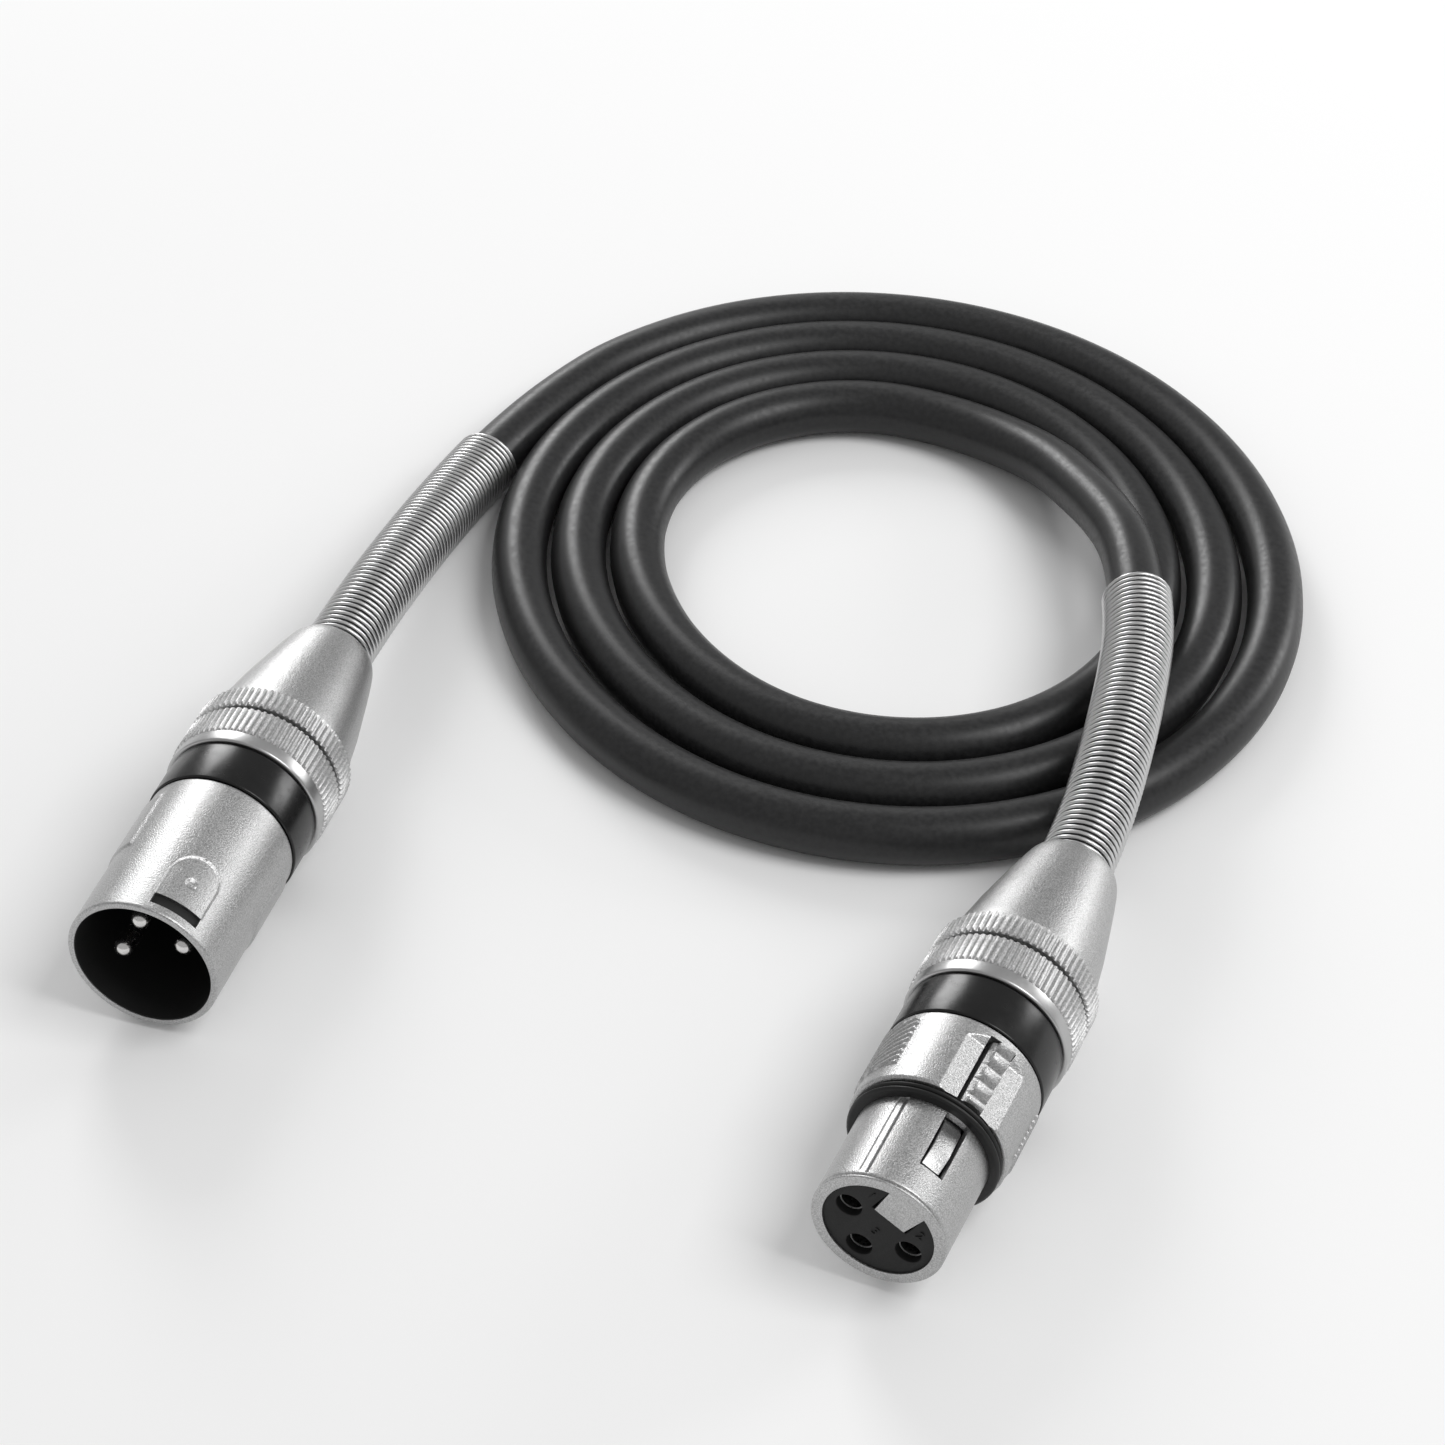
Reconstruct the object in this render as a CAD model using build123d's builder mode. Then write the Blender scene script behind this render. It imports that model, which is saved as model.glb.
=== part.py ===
from build123d import *
import os
from math import cos, pi, radians, sin, tan

# A microphone cable: a male and a female three-pole round plug joined by a loosely coiled cable.
# Units are millimetres. +Z is up and z = 0 is the surface that everything lies on. The origin is
# on that surface, under the middle of the two plugs' bounding box. +Y runs along the male plug,
# from its mating face to its cable.

# ---- where the plugs lie: mating-face centre, heading to the right of +Y, tilt of the cable end up
MALE_AT = (-49.0, -50.3, 10.4)
FEMALE_AT = (44.556, -63.954, 9.81)
FEMALE_HEADING = 6.3
FEMALE_TILT = 1.0
MALE_ROLL = 27.0      # latch side, turned clockwise from straight up, seen from the mating face
FEMALE_ROLL = 32.5

# ---- shared plug sizes (radii are about the plug's axis, stations are behind its mating face)
CONTACT_CIRCLE_R = 4.2
SLEEVE_R = 8.95       # rear of the shell, under the colour ring and the collar
SLEEVE_BORE_R = 8.0
RING_R = 9.75
RING_LENGTH = 6.5
RING_BORE_R = 9.0
LIP_R = 10.15
LIP_LENGTH = 1.85
KNURL_R = 10.35
FRONT_KNURL_LENGTH = 4.6
GROOVE = 0.5          # gap between the collar and the tail nut
REAR_KNURL_LENGTH = 3.5
CONE_LENGTH = 19.4
CONE_START_R = 9.35
CONE_END_R = 6.3
NUT_HOLE_R = 4.95
NUT_SPIGOT_R = 7.7
CLAMP_R = 6.0
SEAM = 0.1            # gap between neighbouring rings
SLEEVE_LENGTH = 11.8
NUT_BORE_R = 6.5
SPIGOT_LENGTH = 4.0
CUP_R = 0.9           # solder cup at the rear of every contact
CUP_DEPTH = 2.5

# ---- male plug
SHELL_R = 9.5
SHELL_LENGTH = 23.2
CAVITY_R = 8.95
LINER_R = 8.6
CAVITY_DEPTH = 15.0
CAVITY_END = 21.0     # rear of the insert's seat
LINER_START = 0.4
PAD_HEIGHT = 0.25
PIN_R = 1.2
PIN_TIP = 2.4
PIN_TIP_ROUNDING = 0.9
PIN_TAIL_R = 1.4
PIN_TAIL_LENGTH = 11.0
PIN_ANGLES = (45, -45, -135)
SLOT_WIDTH = 6.3
SLOT_START = 1.3
SLOT_LENGTH = 1.8
PAD_START = 11.2
PAD_LENGTH = 9.8
ARCH_LENGTH = 4.2     # straight part of the arched recess
ARCH_DEPTH = 0.6

# ---- female plug
NOSE_R = 8.0
NOSE_LENGTH = 12.95
RUBBER_R = 9.2
RUBBER_LENGTH = 1.45
BODY_R = 9.6
BODY_END = 25.5
NOSE_BORE_END = 24.2
NOSE_GROOVE_ANGLE = -45
NOSE_GROOVE_START = 1.0
NOSE_GROOVE_LENGTH = 11.2
NOSE_GROOVE_WIDTH = 0.6
INSERT_R = 7.05
INSERT_START = 0.45
INSERT_LENGTH = 23.6
SOCKET_R = 1.25
SOCKET_START = 1.2
SOCKET_DEPTH = 10.0
SOCKET_NECK_R = 1.5   # each socket is narrower at the front than behind
SOCKET_STEP = 2.1
SOCKET_BODY_R = 1.75
SOCKET_END = 27.1
SOCKET_ANGLES = (-90, 90, 180)
KEY_WIDTH = 4.6
KEY_INNER = 2.5
KEY_START = 0.25
KEY_LENGTH = 3.4
WINDOW_WIDTH = 3.2
BUTTON_SLOT_WIDTH = 3.3
POCKET_WIDTH = 9.0
POCKET_DEPTH = 0.95
POCKET_END = 24.2
WINDOW_START = 4.6
LEVER_WIDTH = 2.9
LEVER_END = 24.9
HOOK_TOP = 8.55
HOOK_END = 8.1
ARM_BOTTOM = 4.7
ARM_TOP = 6.6
BUTTON_FRONT_X = 9.1
BUTTON_REAR_X = 10.0
LATCH_SPRING_AT = (3.6, 0, 13.5)
LATCH_SPRING_R = 1.2
LATCH_SPRING_BORE_R = 0.8
LATCH_SPRING_LENGTH = 2.1
PIVOT_X = 5.6
PIVOT_STATION = 23.6
PIVOT_R = 0.6

# ---- cable and strain-relief springs
CABLE_D = 7.4
SPRING_R = 4.6
SPRING_BORE_R = 3.85
WIRE_R = 0.6

# ---- the coil: a spiral of slightly oval turns, wound inwards and clockwise seen from above
COIL_CENTRE = (10.5, 57.3)
COIL_START = 157.0    # degrees, measured from +X
COIL_R = 57.7
COIL_STEP = 8.0       # how much nearer the centre each turn is
COIL_STEP_CHANGE = 0.6
COIL_TIGHT_SIDE = 107.6
COIL_OVAL = 2.57
COIL_LONG_SIDE = 125.0
COIL_EDGE_ROUNDING = 2.6

# Routes of the two leads, from inside the plug to the coil.
MALE_LEAD = [
    (-49.0, -6.0, 10.4),
    (-49.0, 15.0, 10.4),
    (-48.95, 36.2, 8.1),
    (-48.5, 56.0, 5.0),
    (-46.8, 69.0, 3.85),
    (-43.4, 80.8, 3.7),
    (-38.2, 92.0, 3.7),
]
FEMALE_LEAD = [
    (49.965, -14.959, 10.67),
    (51.72, 0.94, 10.95),
    (51.6, 17.0, 12.6),
    (50.2, 34.0, 12.5),
    (48.4, 45.5, 12.5),
    (44.1, 61.5, 11.9),
    (39.4, 71.4, 10.0),
    (34.3, 77.6, 8.0),
    (27.2, 84.0, 5.9),
    (18.6, 89.6, 4.2),
    (9.0, 92.4, 3.7),
]
MALE_SPRING_RUNS = 3      # the spring ends on this run of its lead's route
FEMALE_SPRING_RUNS = 4
MALE_SPRING_END = 0.5     # share of that run that the spring covers
FEMALE_SPRING_END = 0.5

MALE_RING_START = SHELL_LENGTH + SEAM
FEMALE_RING_START = BODY_END + SEAM
RUBBER_END = NOSE_LENGTH + RUBBER_LENGTH
COLLAR_LENGTH = LIP_LENGTH + FRONT_KNURL_LENGTH


def plug_plane(at, heading, tilt, roll):
    """A plane at a mating face: local z towards the cable, local x towards the latch side."""
    heading, tilt, roll = radians(heading), radians(tilt), radians(roll)
    axis = Vector(sin(heading) * cos(tilt), cos(heading) * cos(tilt), sin(tilt))
    right = Vector(cos(heading), -sin(heading), 0)
    up = right.cross(axis)
    return Plane(origin=at, x_dir=up * cos(roll) + right * sin(roll), z_dir=axis)


male_plug = plug_plane(MALE_AT, 0, 0, MALE_ROLL)
female_plug = plug_plane(FEMALE_AT, FEMALE_HEADING, FEMALE_TILT, FEMALE_ROLL)
os.makedirs("parts", exist_ok=True)


def turn(plug, outline, mode=Mode.ADD):
    """Turn an outline of (radius, station) corners about the plug's axis."""
    half_plane = Plane(origin=plug.origin, x_dir=plug.x_dir, z_dir=-plug.y_dir)
    with BuildSketch(half_plane) as section:
        with BuildLine():
            Polyline(*outline, close=True)
        make_face()
    revolve(section.sketch, axis=Axis(plug.origin, plug.z_dir), mode=mode)


def ring_outline(outer_r, inner_r, start, length):
    """Four corners of a plain ring's section."""
    return [(inner_r, start), (outer_r, start), (outer_r, start + length), (inner_r, start + length)]


def drill(angles, radius, start, length, mode=Mode.SUBTRACT):
    """One cylinder on the contact circle at each angle from the latch side."""
    for angle in angles:
        place = (CONTACT_CIRCLE_R * cos(radians(angle)), CONTACT_CIRCLE_R * sin(radians(angle)))
        with Locations((*place, start)):
            Cylinder(radius, length, align=(Align.CENTER, Align.CENTER, Align.MIN), mode=mode)


def save(solid, label):
    """Label a finished piece and write it out."""
    solid.label = label
    export_step(solid, f"parts/{label}.step")
    print(f"{label:32s} {solid.volume:10.1f} mm3")


# ================================================================ male plug: shell, insert, contacts
with BuildPart(male_plug) as male_shell:
    turn(male_plug, [
        (CAVITY_R, 0.1), (CAVITY_R + 0.1, 0), (SHELL_R - 0.3, 0), (SHELL_R, 0.3),
        (SHELL_R, SHELL_LENGTH), (SLEEVE_R, SHELL_LENGTH), (SLEEVE_R, SHELL_LENGTH + SLEEVE_LENGTH),
        (SLEEVE_BORE_R, SHELL_LENGTH + SLEEVE_LENGTH), (SLEEVE_BORE_R, CAVITY_END), (CAVITY_R, CAVITY_END),
    ])
    # a shallow grip pad on each flank
    with Locations((0, 0, PAD_START + PAD_LENGTH / 2)):
        Box(6.0, 2 * (SHELL_R + PAD_HEIGHT), PAD_LENGTH)
    turn(male_plug, ring_outline(SHELL_R + 3, SHELL_R + PAD_HEIGHT, 0, SHELL_LENGTH), Mode.SUBTRACT)
    turn(male_plug, ring_outline(CAVITY_R, 0, 0, CAVITY_END), Mode.SUBTRACT)
    # the latch slot behind the rim
    with Locations((SHELL_R, 0, SLOT_START + SLOT_LENGTH / 2)):
        Box(3.0, SLOT_WIDTH, SLOT_LENGTH, mode=Mode.SUBTRACT)
    # a shallow arched recess behind the slot
    with BuildSketch(Plane(male_plug.origin + male_plug.x_dir * (SHELL_R + 1),
                           x_dir=male_plug.y_dir, z_dir=male_plug.x_dir)):
        with Locations((0, -(SLOT_START + SLOT_LENGTH + ARCH_LENGTH / 2))):
            Rectangle(SLOT_WIDTH, ARCH_LENGTH)
        with Locations((0, -(SLOT_START + SLOT_LENGTH + ARCH_LENGTH))):
            Circle(SLOT_WIDTH / 2)
    extrude(amount=-1 - ARCH_DEPTH, mode=Mode.SUBTRACT)
save(male_shell.part, "male_shell")

with BuildPart(male_plug) as male_insert:
    turn(male_plug, [
        (0, CAVITY_DEPTH), (LINER_R, CAVITY_DEPTH), (LINER_R, LINER_START), (CAVITY_R - 0.05, LINER_START),
        (CAVITY_R - 0.05, CAVITY_END - 0.1), (0, CAVITY_END - 0.1),
    ])
    with Locations((SHELL_R, 0, SLOT_START + SLOT_LENGTH / 2)):
        Box(3.4, SLOT_WIDTH, SLOT_LENGTH, mode=Mode.SUBTRACT)
    drill(PIN_ANGLES, PIN_TAIL_R + 0.02, CAVITY_DEPTH, CAVITY_END - CAVITY_DEPTH)
save(male_insert.part, "male_insert")

for number, angle in enumerate(PIN_ANGLES, start=1):
    with BuildPart(male_plug) as male_pin:
        drill([angle], PIN_R, PIN_TIP, CAVITY_DEPTH - PIN_TIP, mode=Mode.ADD)
        fillet(male_pin.edges().group_by(Axis(male_plug.origin, male_plug.z_dir))[0], PIN_TIP_ROUNDING)
        drill([angle], PIN_TAIL_R, CAVITY_DEPTH, PIN_TAIL_LENGTH, mode=Mode.ADD)
        drill([angle], CUP_R, CAVITY_DEPTH + PIN_TAIL_LENGTH - CUP_DEPTH, CUP_DEPTH)
    save(male_pin.part, f"male_contact_pin_{number}")

# ================================================================ female plug: shell, insert, contacts
with BuildPart(female_plug) as female_shell:
    turn(female_plug, [
        (INSERT_R + 0.05, 0.2), (INSERT_R + 0.25, 0), (NOSE_R - 0.5, 0), (NOSE_R, 0.5),
        (NOSE_R, RUBBER_END), (BODY_R - 0.3, RUBBER_END), (BODY_R, RUBBER_END + 0.4),
        (BODY_R, BODY_END), (SLEEVE_R, BODY_END), (SLEEVE_R, BODY_END + SLEEVE_LENGTH),
        (SLEEVE_BORE_R, BODY_END + SLEEVE_LENGTH), (SLEEVE_BORE_R, NOSE_BORE_END),
        (INSERT_R + 0.05, NOSE_BORE_END),
    ])
    # key block that fills the mouth of the latch channel
    with Locations(((KEY_INNER + INSERT_R + 0.4) / 2, 0, KEY_START + KEY_LENGTH / 2)):
        Box(INSERT_R + 0.4 - KEY_INNER, KEY_WIDTH, KEY_LENGTH)
    # window in the nose for the latch's hook
    with Locations((NOSE_R, 0, (WINDOW_START + NOSE_LENGTH) / 2)):
        Box(4.0, WINDOW_WIDTH, NOSE_LENGTH - WINDOW_START, mode=Mode.SUBTRACT)
    # flat pocket around the thumb button, closed at the rear, with the button's slot in it
    with Locations((BODY_R, 0, (RUBBER_END + POCKET_END) / 2)):
        Box(2 * POCKET_DEPTH, POCKET_WIDTH, POCKET_END - RUBBER_END, mode=Mode.SUBTRACT)
    with Locations((BODY_R, 0, (RUBBER_END + POCKET_END + 0.4) / 2)):
        Box(7.0, BUTTON_SLOT_WIDTH, POCKET_END + 0.4 - RUBBER_END, mode=Mode.SUBTRACT)
    # shallow groove along the nose
    with Locations((0, 0, NOSE_GROOVE_START + NOSE_GROOVE_LENGTH / 2)):
        with PolarLocations(NOSE_R, 1, start_angle=NOSE_GROOVE_ANGLE):
            Box(NOSE_GROOVE_WIDTH, NOSE_GROOVE_WIDTH, NOSE_GROOVE_LENGTH, mode=Mode.SUBTRACT)
save(female_shell.part, "female_shell")

with BuildPart(female_plug) as female_insert:
    turn(female_plug, ring_outline(INSERT_R, 0, INSERT_START, INSERT_LENGTH))
    with Locations((KEY_INNER + 3.1, 0, 12)):
        Box(6.4, KEY_WIDTH + 0.2, 30, mode=Mode.SUBTRACT)
    drill(SOCKET_ANGLES, SOCKET_NECK_R + 0.05, 0, SOCKET_STEP - 0.1)
    drill(SOCKET_ANGLES, SOCKET_BODY_R + 0.02, SOCKET_STEP - 0.1, INSERT_LENGTH)
    with Locations(Location((PIVOT_X, 0, PIVOT_STATION), (90, 0, 0))):
        Cylinder(PIVOT_R + 0.02, 6.6, mode=Mode.SUBTRACT)
save(female_insert.part, "female_insert")

for number, angle in enumerate(SOCKET_ANGLES, start=1):
    with BuildPart(female_plug) as female_socket:
        drill([angle], SOCKET_NECK_R, SOCKET_START, SOCKET_STEP - SOCKET_START + 0.1, mode=Mode.ADD)
        drill([angle], SOCKET_BODY_R, SOCKET_STEP, SOCKET_END - SOCKET_STEP, mode=Mode.ADD)
        drill([angle], SOCKET_R, SOCKET_START, SOCKET_DEPTH)
        drill([angle], CUP_R, SOCKET_END - CUP_DEPTH, CUP_DEPTH)
    save(female_socket.part, f"female_socket_{number}")

with BuildPart() as female_rubber_ring:
    turn(female_plug, [
        (NOSE_R + 0.03, NOSE_LENGTH), (RUBBER_R - 0.25, NOSE_LENGTH), (RUBBER_R, NOSE_LENGTH + 0.3),
        (RUBBER_R, NOSE_LENGTH + 0.5), (RUBBER_R - 0.3, NOSE_LENGTH + 0.75), (RUBBER_R, NOSE_LENGTH + 1.0),
        (RUBBER_R, RUBBER_END - 0.05), (NOSE_R + 0.03, RUBBER_END - 0.05),
    ])
save(female_rubber_ring.part, "female_rubber_ring")

# ================================================================ female plug: latch
# The lever turns about a pin near its rear. Its profile is drawn in the plane of the latch side.
with BuildPart() as female_latch_lever:
    with BuildSketch(Plane(female_plug.origin, x_dir=female_plug.x_dir, z_dir=-female_plug.y_dir)):
        with BuildLine():
            Polyline(
                (ARM_BOTTOM, WINDOW_START + 0.35), (ARM_TOP + 0.6, WINDOW_START + 0.35),
                (HOOK_TOP, HOOK_END), (ARM_TOP + 0.7, HOOK_END),
                (ARM_TOP + 0.7, NOSE_LENGTH - 0.6), (ARM_TOP, NOSE_LENGTH - 0.2), (ARM_TOP, RUBBER_END + 0.5),
                (BUTTON_FRONT_X, RUBBER_END + 0.5), (BUTTON_REAR_X, POCKET_END - 0.8),
                (BUTTON_REAR_X, POCKET_END - 0.1), (ARM_TOP, POCKET_END), (ARM_TOP, LEVER_END),
                (ARM_BOTTOM, LEVER_END),
                close=True,
            )
        make_face()
        with Locations((PIVOT_X, PIVOT_STATION)):
            Circle(PIVOT_R + 0.05, mode=Mode.SUBTRACT)
    extrude(amount=LEVER_WIDTH / 2, both=True)
save(female_latch_lever.part, "female_latch_lever")

with BuildPart(female_plug) as female_latch_pin:
    with Locations(Location((PIVOT_X, 0, PIVOT_STATION), (90, 0, 0))):
        Cylinder(PIVOT_R, 6.2)
save(female_latch_pin.part, "female_latch_pin")

with BuildPart(female_plug) as female_latch_spring:
    with Locations(Location(LATCH_SPRING_AT, (0, 90, 0))):
        Cylinder(LATCH_SPRING_R, LATCH_SPRING_LENGTH)
        Cylinder(LATCH_SPRING_BORE_R, LATCH_SPRING_LENGTH, mode=Mode.SUBTRACT)
save(female_latch_spring.part, "female_latch_spring")

# ================================================================ pieces that both plugs have
for name, plug, ring_start in (
    ("male", male_plug, MALE_RING_START),
    ("female", female_plug, FEMALE_RING_START),
):
    collar_start = ring_start + RING_LENGTH + SEAM
    nut_start = collar_start + COLLAR_LENGTH + GROOVE
    cone_start = nut_start + REAR_KNURL_LENGTH
    nut_end = cone_start + CONE_LENGTH

    with BuildPart() as color_ring:
        turn(plug, [
            (RING_BORE_R, ring_start), (RING_R - 0.2, ring_start), (RING_R, ring_start + 0.2),
            (RING_R, ring_start + RING_LENGTH - 0.2), (RING_R - 0.2, ring_start + RING_LENGTH),
            (RING_BORE_R, ring_start + RING_LENGTH),
        ])
    save(color_ring.part, f"{name}_color_ring")

    with BuildPart() as lock_collar:
        turn(plug, [
            (RING_BORE_R, collar_start), (LIP_R - 0.3, collar_start), (LIP_R, collar_start + 0.3),
            (LIP_R, collar_start + LIP_LENGTH), (KNURL_R, collar_start + LIP_LENGTH + 0.2),
            (KNURL_R, collar_start + COLLAR_LENGTH - 0.3),
            (KNURL_R - 0.3, collar_start + COLLAR_LENGTH), (RING_BORE_R, collar_start + COLLAR_LENGTH),
        ])
    save(lock_collar.part, f"{name}_lock_collar")

    # tail nut: threaded spigot, knurled band and a slightly bulged cone with a rounded end
    half_plane = Plane(origin=plug.origin, x_dir=plug.x_dir, z_dir=-plug.y_dir)
    with BuildPart() as tail_nut:
        with BuildSketch(half_plane):
            with BuildLine():
                Polyline(
                    (NUT_BORE_R, cone_start + 5.0), (NUT_BORE_R, nut_start - SPIGOT_LENGTH),
                    (NUT_SPIGOT_R, nut_start - SPIGOT_LENGTH),
                    (NUT_SPIGOT_R, nut_start), (KNURL_R - 0.3, nut_start), (KNURL_R, nut_start + 0.3),
                    (KNURL_R, cone_start - 0.2), (CONE_START_R, cone_start),
                )
                ThreePointArc(
                    (CONE_START_R, cone_start), (8.15, cone_start + 8.7), (CONE_END_R, nut_end - 1.6),
                )
                ThreePointArc(
                    (CONE_END_R, nut_end - 1.6), (5.95, nut_end - 0.5), (NUT_HOLE_R + 0.2, nut_end),
                )
                Polyline(
                    (NUT_HOLE_R + 0.2, nut_end), (NUT_HOLE_R, nut_end), (NUT_HOLE_R, cone_start + 11.5),
                    (NUT_BORE_R, cone_start + 5.0),
                )
            make_face()
        revolve(axis=Axis(plug.origin, plug.z_dir))
    save(tail_nut.part, f"{name}_tail_nut")

    # cable clamp: a tapered chuck with one slit, round the cable's jacket
    with BuildPart(plug) as cable_clamp:
        turn(plug, [
            (CABLE_D / 2 + 0.05, cone_start - 5), (CLAMP_R, cone_start - 5), (CLAMP_R, cone_start + 4),
            (4.6, cone_start + 9), (CABLE_D / 2 + 0.05, cone_start + 9),
        ])
        with Locations((-5, 0, cone_start)):
            Box(8, 0.8, 30, mode=Mode.SUBTRACT)
    save(cable_clamp.part, f"{name}_cable_clamp")

# ================================================================ conductors
for name, plug, lead, angles, cup_end in (
    ("male", male_plug, MALE_LEAD, PIN_ANGLES, CAVITY_DEPTH + PIN_TAIL_LENGTH),
    ("female", female_plug, FEMALE_LEAD, SOCKET_ANGLES, SOCKET_END),
):
    wires = []
    for angle in angles:
        across = Vector(cos(radians(angle)), sin(radians(angle)), 0)
        joint = plug.from_local_coords(across * CONTACT_CIRCLE_R + Vector(0, 0, cup_end))
        core = plug.from_local_coords(across * 1.5) - plug.origin + Vector(*lead[0])
        with BuildPart() as wire:
            with BuildSketch(Plane(joint, z_dir=core - joint)):
                Circle(WIRE_R)
            extrude(amount=(core - joint).length - 0.2)
        wires.append(wire.part)
    save(Compound(children=wires), f"{name}_conductors")


# ================================================================ cable leads and springs
def bend_radii(points):
    """A radius for each inner corner: as large as its two runs allow."""
    radii = []
    for before, corner, after in zip(points, points[1:], points[2:]):
        into, out = Vector(*corner) - Vector(*before), Vector(*after) - Vector(*corner)
        half_turn = radians(into.get_angle(out)) / 2
        radii.append(round(0.45 * min(into.length, out.length) / tan(half_turn), 1))
    return radii


def tube(points, radii, outer_r, inner_r=0):
    """A round tube or rod swept along straight runs joined by tangent arcs."""
    with BuildPart() as swept:
        with BuildLine() as path:
            FilletPolyline(*points, radius=radii)
        with BuildSketch(Plane(path.line @ 0, z_dir=path.line % 0)):
            Circle(outer_r)
            if inner_r:
                Circle(inner_r, mode=Mode.SUBTRACT)
        sweep()
    length = sum(edge.length for edge in path.line.edges())
    share = swept.part.volume / (pi * (outer_r**2 - inner_r**2) * length)
    print(f"  {length:.1f} mm long, volume over section times length {share:.4f}, bends {radii}")
    return swept.part


def part_way(points, run, share):
    """A point part of the way along a run of a route."""
    start, end = Vector(*points[run]), Vector(*points[run + 1])
    return start + (end - start) * share


for name, lead, runs, share in (
    ("male", MALE_LEAD, MALE_SPRING_RUNS, MALE_SPRING_END),
    ("female", FEMALE_LEAD, FEMALE_SPRING_RUNS, FEMALE_SPRING_END),
):
    radii = bend_radii(lead)
    save(tube(lead, radii, CABLE_D / 2), f"cable_lead_{name}")
    spring_route = [part_way(lead, 0, 0.5), *lead[1:runs + 1], part_way(lead, runs, share)]
    spring = tube(spring_route, radii[:runs], SPRING_R, SPRING_BORE_R)
    save(spring, f"{name}_strain_relief_spring")


# ================================================================ the coil
def coil_r(angle, turns):
    """Radius of the cable's centre line at an angle, after some turns."""
    step = COIL_STEP - COIL_STEP_CHANGE * cos(radians(angle - COIL_TIGHT_SIDE))
    return COIL_R - step * turns + COIL_OVAL * cos(2 * radians(angle - COIL_LONG_SIDE))


def coil_edge(first_angle, first_turn, outwards):
    """Points round one edge of the coil, 30 degrees apart."""
    points = []
    for index in range(12):
        angle = first_angle - 30 * index
        r = coil_r(angle, first_turn + index / 12) + outwards
        points.append((COIL_CENTRE[0] + r * cos(radians(angle)), COIL_CENTRE[1] + r * sin(radians(angle))))
    return points


with BuildPart() as cable_coil:
    with BuildSketch():
        with BuildLine():
            Spline(*coil_edge(127, 30 / 360, CABLE_D / 2), periodic=True)
        make_face()
        with BuildLine():
            Spline(*coil_edge(67, 2.25, -CABLE_D / 2), periodic=True)
        make_face(mode=Mode.SUBTRACT)
    extrude(amount=CABLE_D)
    fillet(cable_coil.edges().filter_by(lambda edge: edge.length > 100), COIL_EDGE_ROUNDING)
save(cable_coil.part, "cable_coil")
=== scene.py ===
"""A coiled microphone cable: two latching round plugs, their wire-wound strain reliefs and the cable."""

from math import asin, atan, cos, degrees, hypot, pi, radians, sin

import bmesh
import bpy
from mathutils import Matrix, Vector


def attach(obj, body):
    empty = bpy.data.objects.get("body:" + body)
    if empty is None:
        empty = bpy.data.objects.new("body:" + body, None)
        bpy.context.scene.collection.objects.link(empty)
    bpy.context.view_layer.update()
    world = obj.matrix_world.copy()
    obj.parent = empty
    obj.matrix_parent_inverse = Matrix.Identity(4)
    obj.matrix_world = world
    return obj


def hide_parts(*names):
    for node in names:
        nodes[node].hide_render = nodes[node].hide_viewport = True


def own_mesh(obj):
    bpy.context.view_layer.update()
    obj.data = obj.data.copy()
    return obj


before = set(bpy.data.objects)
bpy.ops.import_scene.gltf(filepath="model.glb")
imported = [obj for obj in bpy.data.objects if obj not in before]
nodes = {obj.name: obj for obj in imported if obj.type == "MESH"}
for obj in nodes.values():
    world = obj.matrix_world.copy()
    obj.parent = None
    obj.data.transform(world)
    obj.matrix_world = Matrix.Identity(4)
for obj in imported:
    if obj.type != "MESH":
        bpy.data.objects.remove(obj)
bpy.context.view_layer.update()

MM = 0.001
SHARP_ANGLE = 38
ON_AXIS = 0.001         # radius of an outline's points on the axis, so that no face has zero area

# ---- where things lie, in millimetres in the row frame, as in the CAD
MALE_AT = (-49.0, -50.3, 10.4)
FEMALE_AT = (44.556, -63.954, 9.81)
FEMALE_HEADING = 6.3
FEMALE_TILT = 1.0
MALE_ROLL = 27.0
FEMALE_ROLL = 32.5
CONTACT_CIRCLE_R = 4.2
MALE_CONTACTS = (45, -45, -135)
FEMALE_CONTACTS = (-90, 90, 180)

# ---- where each plug's turned parts start, from the front of its shell
MALE_RING_START = 23.3
FEMALE_RING_START = 25.6
RING_LENGTH = 6.5
LIP_LENGTH = 1.85
COLLAR_BAND = 4.6
NUT_BAND = 3.5
COLLAR_AFTER_RING = 6.6
NUT_AFTER_RING = 13.55

# ---- the cable's route: the two leads as listed points, the coil by its formula
CABLE_D = 7.4
MALE_LEAD = [
    (-49.0, -6.0, 10.4),
    (-49.0, 15.0, 10.4),
    (-48.95, 36.2, 8.1),
    (-48.5, 56.0, 5.0),
    (-46.8, 69.0, 3.85),
    (-43.4, 80.8, 3.7),
    (-38.2, 92.0, 3.7),
]
FEMALE_LEAD = [
    (49.965, -14.959, 10.67),
    (51.72, 0.94, 10.95),
    (51.6, 17.0, 12.6),
    (50.2, 34.0, 12.5),
    (48.4, 45.5, 12.5),
    (43.4, 60.9, 11.9),
    (37.9, 70.0, 10.0),
    (33.2, 76.6, 8.0),
    (27.2, 84.0, 5.9),
    (18.6, 89.6, 4.2),
    (9.0, 92.4, 3.7),
]
COIL_CENTRE = (10.5, 57.3)
COIL_START = 157.0
COIL_R = 57.7
COIL_STEP = 8.0
COIL_STEP_CHANGE = 0.6
COIL_TIGHT_SIDE = 107.6
COIL_OVAL = 2.57
COIL_LONG_SIDE = 125.0
COIL_FIRST = 129.4      # angle of the first point after the male lead
COIL_LAST = -972.6      # angle of the last point before the female lead, three turns on
COIL_POINTS = 75
CONTROL_SCALE = 0.9914  # a quadratic spline runs this far inside its control points on a turn

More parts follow.
